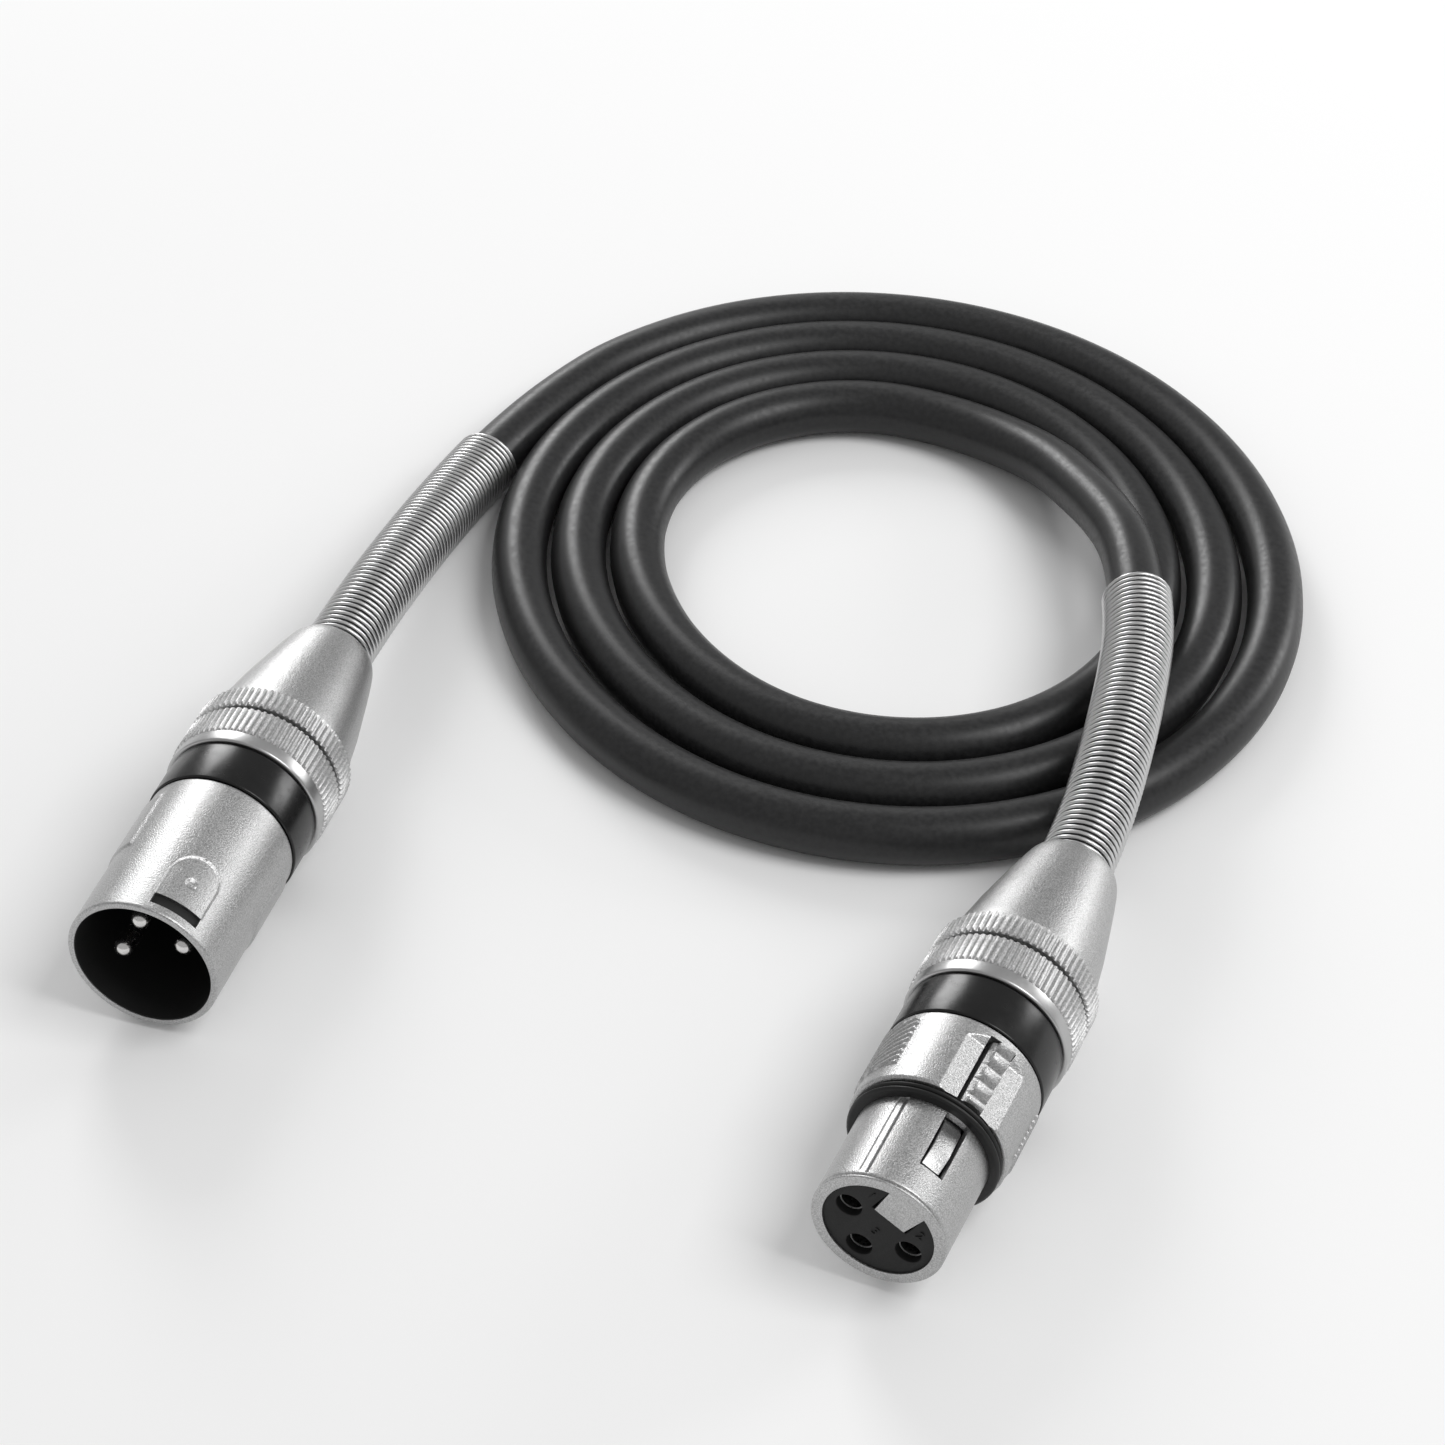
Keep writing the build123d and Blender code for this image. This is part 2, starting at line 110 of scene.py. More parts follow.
# ---- strain-relief springs: where each starts and ends along the cable, from the cable's end in its plug
MALE_SPRING = (10.5, 69.3)
FEMALE_SPRING = (8.0, 65.4)
SPRING_R = 4.62
WIRE_D = 0.56
SPRING_PITCH = 0.94


# ======================================================================== mesh helpers
def plug_frame(at, heading, tilt, roll):
    """Plug millimetres (z towards the cable, x towards the latch side) to metres in the row frame."""
    heading, tilt, roll = radians(heading), radians(tilt), radians(roll)
    axis = Vector((sin(heading) * cos(tilt), cos(heading) * cos(tilt), sin(tilt)))
    right = Vector((cos(heading), -sin(heading), 0))
    up = right.cross(axis)
    latch_side = up * cos(roll) + right * sin(roll)
    matrix = Matrix((latch_side, axis.cross(latch_side), axis)).transposed().to_4x4()
    matrix.translation = Vector(at)
    return Matrix.Scale(MM, 4) @ matrix


male_plug = plug_frame(MALE_AT, 0, 0, MALE_ROLL)
female_plug = plug_frame(FEMALE_AT, FEMALE_HEADING, FEMALE_TILT, FEMALE_ROLL)


def finish_piece(name, mesh, body, slot, material, *replaced):
    """Make a mesh an object that rides on a body and stands for its CAD nodes."""
    piece = bpy.data.objects.new(name, mesh)
    bpy.context.scene.collection.objects.link(piece)
    mesh.materials.append(material)
    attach(piece, body)
    if replaced:
        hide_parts(*replaced)
    return piece


def smooth(mesh):
    """Smooth shading with edges sharper than SHARP_ANGLE kept crisp."""
    mesh.polygons.foreach_set("use_smooth", [True] * len(mesh.polygons))
    mesh.set_sharp_from_angle(angle=radians(SHARP_ANGLE))
    return mesh


def to_mesh(name, work, place):
    """Finish a bmesh: outward normals, then into the row frame."""
    bmesh.ops.recalc_face_normals(work, faces=work.faces)
    mesh = bpy.data.meshes.new(name)
    work.to_mesh(mesh)
    work.free()
    mesh.transform(place)
    return smooth(mesh)


def rounded(corners, steps=4):
    """A closed outline from (radius, station, corner radius) corners."""
    outline = []
    count = len(corners)
    for i, (r, s, fillet) in enumerate(corners):
        corner = Vector((r, s))
        if not fillet:
            outline.append((r, s))
            continue
        before = Vector(corners[i - 1][:2]) - corner
        after = Vector(corners[(i + 1) % count][:2]) - corner
        half = before.angle(after) / 2
        reach = fillet / sin(half) * cos(half)
        start = corner + before.normalized() * reach
        end = corner + after.normalized() * reach
        for step in range(steps + 1):
            t = step / steps
            point = start * (1 - t) ** 2 + corner * 2 * t * (1 - t) + end * t**2
            outline.append(tuple(point))
    return outline


def even_angles(count, *extra):
    """Angles round the axis, in degrees from -180, with extra ones snapped in."""
    step = 360 / count
    angles = [-180 + i * step for i in range(count)]
    for angle in extra:
        nearest = min(range(len(angles)), key=lambda i: abs(angles[i] - angle))
        angles[nearest] = angle
    return angles


def lathe(work, outline, angles, shape=None):
    """Turn a closed outline round the axis. shape(r, angle, s) may give another radius."""
    rings = []
    for angle in angles:
        a = radians(angle)
        ring = []
        for r, s in outline:
            rr = shape(r, angle, s) if shape else r
            ring.append(work.verts.new((rr * cos(a), rr * sin(a), s)))
        rings.append(ring)
    size = len(outline)
    for i, ring in enumerate(rings):
        following = rings[(i + 1) % len(rings)]
        for j in range(size):
            k = (j + 1) % size
            work.faces.new((ring[j], following[j], following[k], ring[k]))


def stations(r, start, end, step, *extra):
    """Points of constant radius along a wall, with extra stations snapped in."""
    count = max(2, round(abs(end - start) / step))
    values = [start + (end - start) * i / count for i in range(count + 1)]
    for s in extra:
        nearest = min(range(1, count), key=lambda i: abs(values[i] - s))
        values[nearest] = s
    return [(r, s) for s in values]


def cut_window(work, half_angle, start, end, radius_range):
    """Open a window on the latch side through both walls, and close its edge."""
    low, high = radius_range
    doomed = []
    for face in work.faces:
        x, y, s = face.calc_center_median()
        r = hypot(x, y)
        if x > 0 and low < r < high and start < s < end and abs(degrees(asin(y / r))) < half_angle:
            doomed.append(face)
    edges = {edge for face in doomed for edge in face.edges}
    kept = set(work.faces) - set(doomed)
    rim = [edge for edge in edges if any(face in kept for face in edge.link_faces)]
    bmesh.ops.delete(work, geom=doomed, context="FACES")
    rim = [edge for edge in rim if edge.is_valid]
    bmesh.ops.bridge_loops(work, edges=rim)


def step_up(value, start, end):
    """0 below start, 1 above end, smooth between."""
    t = min(1.0, max(0.0, (value - start) / (end - start)))
    return t * t * (3 - 2 * t)


def flat_shape(name, loops, thickness, bevel, place):
    """A flat closed outline, with holes, thickened evenly about its own plane, with rounded edges."""
    curve = bpy.data.curves.new(name, "CURVE")
    curve.dimensions = "2D"
    curve.fill_mode = "BOTH"
    for loop in loops:
        spline = curve.splines.new("POLY")
        spline.points.add(len(loop) - 1)
        for point, (x, y) in zip(spline.points, loop):
            point.co = (x, y, 0, 1)
        spline.use_cyclic_u = True
    curve.extrude = thickness / 2 - bevel
    curve.bevel_depth = bevel
    curve.bevel_resolution = 3
    curve.offset = -bevel
    holder = bpy.data.objects.new(name, curve)
    bpy.context.scene.collection.objects.link(holder)
    mesh = bpy.data.meshes.new_from_object(holder)
    bpy.data.objects.remove(holder)
    mesh.transform(place)
    work = bmesh.new()
    work.from_mesh(mesh)
    bmesh.ops.remove_doubles(work, verts=work.verts, dist=0.00001 * MM)
    bmesh.ops.recalc_face_normals(work, faces=work.faces)
    work.to_mesh(mesh)
    work.free()
    return smooth(mesh)


def circle(x, y, r, count=40):
    """Points round a circle."""
    return [(x + r * cos(2 * pi * i / count), y + r * sin(2 * pi * i / count)) for i in range(count)]


def join_meshes(name, meshes):
    """Several meshes as one."""
    work = bmesh.new()
    for mesh in meshes:
        work.from_mesh(mesh)
    joined = bpy.data.meshes.new(name)
    work.to_mesh(joined)
    work.free()
    return joined


# ======================================================================== materials
def principled(name, color, metallic=0.0, roughness=0.5, specular=0.5):
    """A Principled material with its uniform values on its own sockets."""
    material = bpy.data.materials.new(name)
    material.use_nodes = True
    shader = material.node_tree.nodes["Principled BSDF"]
    shader.inputs["Base Color"].default_value = (*color, 1)
    shader.inputs["Metallic"].default_value = metallic
    shader.inputs["Roughness"].default_value = roughness
    shader.inputs["Specular IOR Level"].default_value = specular
    return material


def add_grain(material, scale, strength, distance, rough, tint=None, detail=3.0):
    """Fine noise: in the bump and the roughness, and if asked in the colour."""
    tree = material.node_tree
    shader = tree.nodes["Principled BSDF"]
    place = tree.nodes.new("ShaderNodeTexCoord")
    noise = tree.nodes.new("ShaderNodeTexNoise")
    noise.inputs["Scale"].default_value = scale
    noise.inputs["Detail"].default_value = detail
    bump = tree.nodes.new("ShaderNodeBump")
    bump.inputs["Strength"].default_value = strength
    bump.inputs["Distance"].default_value = distance
    tree.links.new(place.outputs["Object"], noise.inputs["Vector"])
    tree.links.new(noise.outputs["Fac"], bump.inputs["Height"])
    tree.links.new(bump.outputs["Normal"], shader.inputs["Normal"])
    spread = tree.nodes.new("ShaderNodeMapRange")
    spread.inputs["From Min"].default_value = 0.3
    spread.inputs["From Max"].default_value = 0.7
    spread.inputs["To Min"].default_value = rough[0]
    spread.inputs["To Max"].default_value = rough[1]
    tree.links.new(noise.outputs["Fac"], spread.inputs["Value"])
    tree.links.new(spread.outputs["Result"], shader.inputs["Roughness"])
    if tint:
        ramp = tree.nodes.new("ShaderNodeValToRGB")
        ramp.color_ramp.elements[0].position = 0.35
        ramp.color_ramp.elements[0].color = (*tint[0], 1)
        ramp.color_ramp.elements[1].position = 0.65
        ramp.color_ramp.elements[1].color = (*tint[1], 1)
        tree.links.new(noise.outputs["Fac"], ramp.inputs["Fac"])
        tree.links.new(ramp.outputs["Color"], shader.inputs["Base Color"])
    return material


satin_nickel = add_grain(
    principled("satin_nickel", (0.45, 0.45, 0.45), metallic=1.0, roughness=0.38),
    scale=6200, strength=0.75, distance=0.00006, rough=(0.31, 0.45),
    tint=((0.35, 0.35, 0.35), (0.55, 0.55, 0.55)), detail=1.0,
)
knurl_nickel = add_grain(
    principled("knurl_nickel", (0.56, 0.56, 0.56), metallic=1.0, roughness=0.48),
    scale=4000, strength=0.6, distance=0.00008, rough=(0.42, 0.54),
    tint=((0.46, 0.46, 0.46), (0.66, 0.66, 0.66)), detail=1.0,
)
polished_nickel = add_grain(
    principled("polished_nickel", (0.46, 0.46, 0.46), metallic=1.0, roughness=0.32),
    scale=2500, strength=0.06, distance=0.00003, rough=(0.28, 0.36),
)
gloss_black = add_grain(
    principled("gloss_black", (0.003, 0.003, 0.003), roughness=0.26, specular=0.4),
    scale=900, strength=0.05, distance=0.00003, rough=(0.22, 0.28),
)
matt_black = add_grain(
    principled("matt_black", (0.01, 0.01, 0.01), roughness=0.6, specular=0.3),
    scale=6000, strength=0.2, distance=0.00004, rough=(0.55, 0.66),
)
black_rubber = add_grain(
    principled("black_rubber", (0.008, 0.008, 0.008), roughness=0.42, specular=0.35),
    scale=3500, strength=0.15, distance=0.00004, rough=(0.36, 0.5),
)
contact_silver = add_grain(
    principled("contact_silver", (0.72, 0.71, 0.7), metallic=1.0, roughness=0.2),
    scale=3000, strength=0.08, distance=0.00003, rough=(0.15, 0.28),
)
# Socket metal darkened far below real tin, to paint the shade deep inside the insert's holes.
socket_metal_painted_shade = add_grain(
    principled("socket_metal_painted_shade", (0.2, 0.2, 0.2), metallic=1.0, roughness=0.3),
    scale=3000, strength=0.08, distance=0.00003, rough=(0.25, 0.36),
)
spring_steel = principled("spring_steel", (0.62, 0.62, 0.62), metallic=1.0, roughness=0.3)
cable_vinyl = add_grain(
    principled("cable_vinyl", (0.014, 0.014, 0.0145), roughness=0.38, specular=0.4),
    scale=1400, strength=0.12, distance=0.00008, rough=(0.32, 0.44),
    tint=((0.011, 0.011, 0.0115), (0.018, 0.018, 0.0185)),
)
clamp_plastic = add_grain(
    principled("clamp_plastic", (0.7, 0.7, 0.67), roughness=0.5),
    scale=3000, strength=0.1, distance=0.00003, rough=(0.45, 0.55),
)
conductor_plastic = add_grain(
    principled("conductor_plastic", (0.4, 0.04, 0.03), roughness=0.4),
    scale=2000, strength=0.1, distance=0.00003, rough=(0.35, 0.45),
)


# ======================================================================== the cable
def coil_point(angle):
    """A control point of the coil at an angle in degrees, which falls by 360 a turn."""
    turns = (COIL_START - angle) / 360
    step = COIL_STEP - COIL_STEP_CHANGE * cos(radians(angle - COIL_TIGHT_SIDE))
    r = COIL_R - step * turns + COIL_OVAL * cos(2 * radians(angle - COIL_LONG_SIDE))
    r /= CONTROL_SCALE
    return (COIL_CENTRE[0] + r * cos(radians(angle)), COIL_CENTRE[1] + r * sin(radians(angle)), CABLE_D / 2)


coil = []
for index in range(COIL_POINTS):
    share = index / (COIL_POINTS - 1)
    coil.append(coil_point(COIL_FIRST + (COIL_LAST - COIL_FIRST) * share))
route = [*MALE_LEAD, *coil, *reversed(FEMALE_LEAD)]

cable_curve = bpy.data.curves.new("cable", "CURVE")
cable_curve.dimensions = "3D"
spline = cable_curve.splines.new("NURBS")
spline.points.add(len(route) - 1)
for point, place in zip(spline.points, route):
    point.co = (*(c * MM for c in place), 1)
spline.order_u = 3
spline.use_endpoint_u = True
cable_curve.resolution_u = 10
cable = bpy.data.objects.new("cable", cable_curve)
bpy.context.scene.collection.objects.link(cable)
path_mesh = bpy.data.meshes.new_from_object(cable)
path = [vertex.co.copy() for vertex in path_mesh.vertices]
cable_curve.bevel_depth = CABLE_D / 2 * MM
cable_curve.bevel_resolution = 8
cable_curve.use_fill_caps = True
cable_curve.materials.append(cable_vinyl)
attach(cable, "root")
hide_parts("cable_lead_male", "cable_coil", "cable_lead_female")


# ======================================================================== strain-relief springs
def along(points, distance):
    """The point at a distance along a line of points, and the direction there."""
    for a, b in zip(points, points[1:]):
        run = (b - a).length
        if distance <= run:
            return a.lerp(b, distance / run), (b - a).normalized()
        distance -= run
    return points[-1], (points[-1] - points[-2]).normalized()


def spring(name, points, start, end, outer_r=SPRING_R, wire_d=WIRE_D, pitch=SPRING_PITCH):
    """Wire wound round a line of points, from one distance along it to another."""
    work = bmesh.new()
    per_turn = 28
    sides = 10
    turns = (end - start) / pitch
    count = round(turns * per_turn)
    rings = []
    across = Vector((1, 0, 0))
    coil_r = (outer_r - wire_d / 2) * MM
    for i in range(count + 1):
        share = i / count
        centre, direction = along(points, (start + (end - start) * share) * MM)
        across = (across - direction * across.dot(direction)).normalized()
        up = direction.cross(across)
        angle = 2 * pi * turns * share
        outward = across * cos(angle) + up * sin(angle)
        hub = centre + outward * coil_r
        ring = []
        for j in range(sides):
            a = 2 * pi * j / sides
            ring.append(work.verts.new(hub + (outward * cos(a) + direction * sin(a)) * wire_d / 2 * MM))
        rings.append(ring)
    for ring, following in zip(rings, rings[1:]):
        for j in range(sides):
            k = (j + 1) % sides
            work.faces.new((ring[j], ring[k], following[k], following[j]))
    work.faces.new(rings[0])
    work.faces.new(rings[-1])
    mesh = to_mesh(name, work, Matrix.Identity(4))
    return finish_piece(name, mesh, "root", "spring_wire", spring_steel, name.replace("_wire", ""))


spring("male_strain_relief_spring_wire", path, *MALE_SPRING)
spring("female_strain_relief_spring_wire", path[::-1], *FEMALE_SPRING)


# ---- the latch's return spring, at one length here; the real one shortens as the button is pressed
LATCH_SPRING_STATION = 13.5
LATCH_SPRING_FOOT = 2.6
LATCH_SPRING_HEAD = 4.6
LATCH_SPRING_LENGTH = 1.9
latch_spring_axis = [
    female_plug @ Vector((x, 0, LATCH_SPRING_STATION)) for x in (LATCH_SPRING_FOOT, LATCH_SPRING_HEAD)
]
latch_spring = spring(
    "female_latch_spring_wire", latch_spring_axis, 0, LATCH_SPRING_LENGTH,
    outer_r=1.15, wire_d=0.28, pitch=0.42,
)
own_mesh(latch_spring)


# ======================================================================== rings, collars and nuts
SLEEVE_R = 8.95         # of the shells' rear sleeves
SLEEVE_BORE_R = 8.0
SEAT_R = 9.0            # bore of the rings and collars, which sit on the sleeves
RING_R = 9.75
LIP_R = 10.15
KNURL_R = 10.35
KNURL_ROOT = 9.93
KNURL_TEETH = 74
NUT_SEAT_R = 7.7
ROUND = even_angles(192)
KNURL_ANGLES = even_angles(KNURL_TEETH * 8)


def knurl(r, angle, s):
    """Teeth that rise from the root radius."""
    if r <= KNURL_ROOT:
        return r
    phase = (angle + 180) / 360 * KNURL_TEETH % 1
    height = step_up(abs(phase * 2 - 1), 0.3, 0.62)
    return KNURL_ROOT + (r - KNURL_ROOT) * height


def color_ring(name, place, start):
    """Plain glossy ring with rounded edges."""
    end = start + RING_LENGTH
    outline = rounded([(SEAT_R, start, 0), (RING_R, start, 0.25), (RING_R, end, 0.25), (SEAT_R, end, 0)])
    work = bmesh.new()
    lathe(work, outline, ROUND)
    finish_piece(f"{name}_color_ring_body", to_mesh(name, work, place), "root", "gloss_black",
                 gloss_black, f"{name}_color_ring")


def lock_collar(name, place, start):
    """Polished lip in front of a knurled band."""
    front = start + LIP_LENGTH
    end = front + COLLAR_BAND
    work = bmesh.new()
    outline = [
        (SEAT_R, front + 0.02), (KNURL_ROOT - 0.05, front + 0.02), (KNURL_ROOT + 0.01, front + 0.03),
        (LIP_R, front + 0.06), (KNURL_R, front + 0.25), (KNURL_R, end - 0.35), (10.2, end - 0.14),
        (KNURL_ROOT + 0.02, end - 0.08), (KNURL_ROOT - 0.1, end - 0.07), (SEAT_R, end - 0.07),
    ]
    lathe(work, outline, KNURL_ANGLES, knurl)
    finish_piece(f"{name}_lock_collar_band", to_mesh(name, work, place), "root", "satin_nickel",
                 knurl_nickel, f"{name}_lock_collar")
    work = bmesh.new()
    outline = rounded([(SEAT_R, start, 0), (LIP_R, start, 0.3), (LIP_R, front, 0.05), (SEAT_R, front, 0)])
    lathe(work, outline, ROUND)
    finish_piece(f"{name}_lock_collar_lip", to_mesh(name, work, place), "root", "satin_nickel",
                 polished_nickel)


def tail_nut(name, place, start):
    """Knurled band, then a satin cone with a rounded end."""
    cone = start + NUT_BAND
    work = bmesh.new()
    outline = [
        (NUT_SEAT_R, start + 0.09), (KNURL_ROOT - 0.1, start + 0.09), (KNURL_ROOT + 0.02, start + 0.1),
        (10.2, start + 0.16), (KNURL_R, start + 0.35), (KNURL_R, cone - 0.3), (LIP_R, cone - 0.08),
        (KNURL_ROOT + 0.02, cone - 0.01), (KNURL_ROOT - 0.06, cone), (NUT_SEAT_R, cone),
    ]
    lathe(work, outline, KNURL_ANGLES, knurl)
    finish_piece(f"{name}_tail_nut_band", to_mesh(name, work, place), f"{name}_nut", "satin_nickel",
                 knurl_nickel, f"{name}_tail_nut")
    profile = [
        (9.52, 0.0), (9.5, 0.35), (9.2, 2.2), (8.8, 4.4), (8.35, 7.3), (7.8, 10.0), (7.25, 12.7),
        (6.65, 15.5), (6.25, 17.2), (5.98, 18.2), (5.7, 18.85), (5.35, 19.25), (5.1, 19.4), (4.97, 19.3),
        (4.95, 19.0), (4.95, 11.5), (6.5, 5.0), (6.5, -7.5), (NUT_SEAT_R, -7.5), (NUT_SEAT_R, -0.05),
        (9.4, -0.05),
    ]
    work = bmesh.new()
    lathe(work, [(r, cone + s) for r, s in profile], ROUND)
    finish_piece(f"{name}_tail_nut_cone", to_mesh(name, work, place), f"{name}_nut", "satin_nickel",
                 satin_nickel)


for name, place, ring_start in (
    ("male", male_plug, MALE_RING_START),
    ("female", female_plug, FEMALE_RING_START),
):
    color_ring(name, place, ring_start)
    lock_collar(name, place, ring_start + COLLAR_AFTER_RING)
    tail_nut(name, place, ring_start + NUT_AFTER_RING)


# ======================================================================== male shell, insert and pins
SHELL_R = 9.5
MALE_END = 35
CAVITY_R = 8.95
MOUTH_R = 8.68
SLOT = (1.3, 3.1)
SLOT_HALF = degrees(3.15 / SHELL_R)
ARCH_R = 3.2
ARCH_STATION = SLOT[1] + 4.4
ARCH_DEPTH = 0.16
DIMPLE_STATION = 6.6
DIMPLE_DEPTH = 0.2
CUP_R = 8.6
CUP_OUTER_R = 8.92
CUP_LIP = 0.18
CUP_FLOOR = 15.0
CUP_BACK = 20.9
PIN_R = 1.2
PIN_TIP = 2.4
MALE_PAD = (11.2, 21.4)
PAD_HALF = 28
PAD_HEIGHT = 0.25


def male_shape(r, angle, s):
    """Grip pads on the flanks, the arched recess behind the slot and its dimple."""
    if r < SHELL_R - 0.01:
        return r
    off_flank = abs(abs(angle) - 90)
    start, end = MALE_PAD
    pad = step_up(PAD_HALF - off_flank, 0, 5) * step_up(s, start, start + 0.6) * step_up(-s, -end, 0.6 - end)
    r += PAD_HEIGHT * pad
    across = radians(angle) * SHELL_R
    if s < ARCH_STATION:
        edge = ARCH_R - abs(across) if s > 3.0 else -1
    else:
        edge = ARCH_R - hypot(across, s - ARCH_STATION)
    r -= ARCH_DEPTH * step_up(edge, -0.1, 0.1)
    r -= DIMPLE_DEPTH * (1 - step_up(hypot(across, s - DIMPLE_STATION), 0.45, 0.85))
    return r


def male_shell():
    """Barrel with a rolled mouth, a slot on the latch side and a thinner rear sleeve."""
    outline = rounded([
        (CAVITY_R, 0.16, 0), (MOUTH_R, 0.16, 0), (MOUTH_R, 0, 0.06), (SHELL_R, 0, 0.32), (SHELL_R, 0.45, 0),
    ])[:-1]
    outline += stations(SHELL_R, 0.45, 12.6, 0.15, *SLOT)
    outline += stations(SHELL_R, 12.8, 23.0, 0.2)
    outline += [
        (9.42, 23.15), (9.3, 23.2), (SLEEVE_R, 23.2), (SLEEVE_R, MALE_END), (SLEEVE_BORE_R, MALE_END),
        (SLEEVE_BORE_R, 21),
    ]
    outline += stations(CAVITY_R, 21.0, 0.5, 0.6, *reversed(SLOT))
    work = bmesh.new()
    fine = [a * 0.8 for a in range(-35, 36)]
    rest = [28.8 + (360 - 57.6) * i / 168 for i in range(168)]
    angles = sorted({round(a if a <= 180 else a - 360, 4) for a in [*fine, *rest]})
    for edge in (-SLOT_HALF, SLOT_HALF):
        nearest = min(range(len(angles)), key=lambda i: abs(angles[i] - edge))
        angles[nearest] = edge
    lathe(work, outline, angles, male_shape)
    cut_window(work, SLOT_HALF, *SLOT, (8.9, 9.8))
    finish_piece("male_shell_body", to_mesh("male_shell", work, male_plug), "root", "satin_nickel",
                 satin_nickel, "male_shell")


def male_insert():
    """Black cup that lines the cavity and holds the pins in its floor."""
    work = bmesh.new()
    outline = rounded([
        (ON_AXIS, CUP_FLOOR, 0), (CUP_R, CUP_FLOOR, 0.3), (CUP_R, CUP_LIP, 0.05),
        (CUP_OUTER_R, CUP_LIP, 0.05), (CUP_OUTER_R, CUP_BACK, 0), (ON_AXIS, CUP_BACK, 0),
    ])
    lathe(work, outline, even_angles(128))
    finish_piece("male_insert_cup", to_mesh("male_insert", work, male_plug), "root", "black_plastic",
                 matt_black, "male_insert")


def contact_place(plug, angle):
    """A contact's own axis in a plug, at an angle round it."""
    a = radians(angle)
    return plug @ Matrix.Translation((CONTACT_CIRCLE_R * cos(a), CONTACT_CIRCLE_R * sin(a), 0))


def male_pin(number, angle):
    """A solid pin with a rounded tip."""
    work = bmesh.new()
    tip = [(PIN_R * sin(radians(t)), PIN_TIP + 1.1 - 1.1 * cos(radians(t))) for t in range(6, 90, 12)]
    root = CUP_FLOOR + 0.2
    outline = [(ON_AXIS, PIN_TIP), *tip, (PIN_R, PIN_TIP + 1.2), (PIN_R, root), (ON_AXIS, root)]
    lathe(work, outline, even_angles(40))
    place = contact_place(male_plug, angle)
    finish_piece(f"male_contact_pin_{number}_body", to_mesh("pin", work, place), "root", "contact_plating",
                 contact_silver, f"male_contact_pin_{number}")


male_shell()
male_insert()
for number, angle in enumerate(MALE_CONTACTS, start=1):
    male_pin(number, angle)


# ======================================================================== female shell
NOSE_R = 8.0
BORE_R = 7.1
RIM_R = 6.62
BODY_R = 9.6
FEMALE_END = 37.3
WINDOW = (4.6, 12.95)
BUTTON = (14.4, 24.5)
POCKET_X = 8.66
POCKET_HALF = 40
POCKET_RAMP = 23.1      # where its floor starts to climb to the body's surface
POCKET_SLOPE = 0.7
BUTTON_HALF = degrees(atan(1.62 / POCKET_X))
WINDOW_HALF = degrees(asin(1.58 / NOSE_R))
GROOVE_ANGLE = -46
GRIP_START = (16.6, 16.9)
GRIP_END = (24.3, 24.6)
GRIP_PITCH = 0.95
GRIP_SLANT = 0.45
GRIP_HEIGHT = 0.3
INSERT_R = 7.05
INSERT_FRONT = 0.25
INSERT_LENGTH = 23.8
CHANNEL_HALF = 2.4
KEY_MIDDLE = 1.73
KEY_LENGTH = 3.3
DIGIT_SIZE = 1.7
DIGIT_HEIGHT = 0.1
SOCKET_HOLE_R = 1.55
SOCKET_R = 1.5
SOCKET_BORE_R = 1.25
SOCKET_END = 27.0
LEVER_START = 14.9
LEVER_STEP = 0.05
LEVER_LAYERS = 187
LEVER_SLOPE = 0.085
RIB_START = 14.1
RIB_PITCH = 2.27
RIB_HEIGHT = 0.95
DIGITS_AT = ((3.7, -3.4), (3.5, 3.6), (-0.7, 0.0))


def female_shape(r, angle, s):
    """Groove on the nose; pocket and grip patches on the body."""
    if abs(r - NOSE_R) < 0.01 and s < 13.0:
        off = angle - GROOVE_ANGLE
        if abs(off) < 8:
            band = step_up(off, -7.0, -6.0) * (1 - step_up(off, 1.4, 2.0))
            line = step_up(off, -1.2, -0.8) * (1 - step_up(off, 1.4, 2.0))
            r -= (0.1 * band + 0.3 * line) * step_up(s, 0.9, 1.1)
        return r
    if r < BODY_R - 0.35 or s < 14.3 or s > 25.6:
        return r
    off_flank = abs(abs(angle) - 90)
    patch = step_up(PAD_HALF - off_flank, 0, 1.2) * step_up(s, *GRIP_START) * (1 - step_up(s, *GRIP_END))
    if patch and r > BODY_R - 0.01:
        phase = (s + radians(abs(angle)) * BODY_R * GRIP_SLANT) / GRIP_PITCH % 1
        r += GRIP_HEIGHT * patch * step_up(abs(phase * 2 - 1), 0.3, 0.7)
    if abs(angle) < POCKET_HALF:
        floor = POCKET_X + max(0.0, s - POCKET_RAMP) * POCKET_SLOPE
        r = min(r, floor / cos(radians(angle)))
    return r


